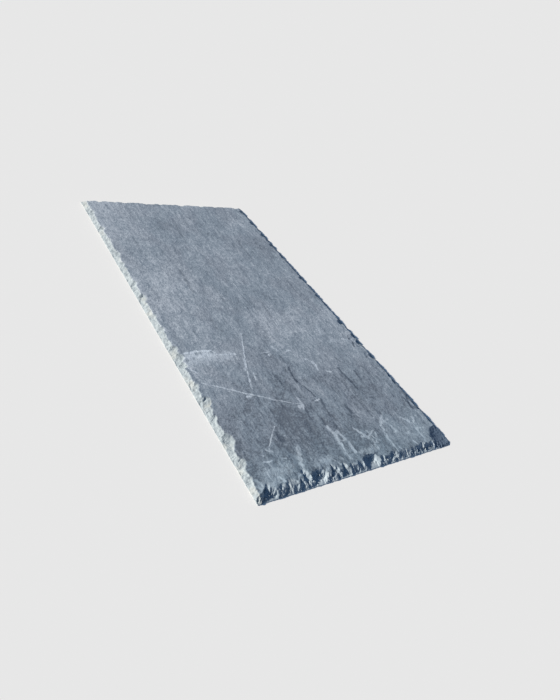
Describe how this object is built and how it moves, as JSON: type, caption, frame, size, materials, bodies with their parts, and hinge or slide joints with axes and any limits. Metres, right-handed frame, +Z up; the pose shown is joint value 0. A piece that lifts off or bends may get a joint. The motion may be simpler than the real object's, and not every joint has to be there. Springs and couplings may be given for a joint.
{
  "type": "slate roof tile",
  "caption": "Rectangular riven roofing slate, flat bed and face, with dressed edges spalled off the face side into a ragged bevel.",
  "frame": {"origin": "centre of the bed (the underside), on the level the slate lies on", "axes": "+X across the width, to the right for someone looking from the tail to the head with the face up; +Y along the length from tail to head; +Z up, out of the weathered face"},
  "size_m": [0.25, 0.5, 0.006],
  "materials": {
    "slate": "riven, matt, weathered blue-grey"
  },
  "bodies": {
    "root": {"slate": "slate"}
  },
  "joints": []
}
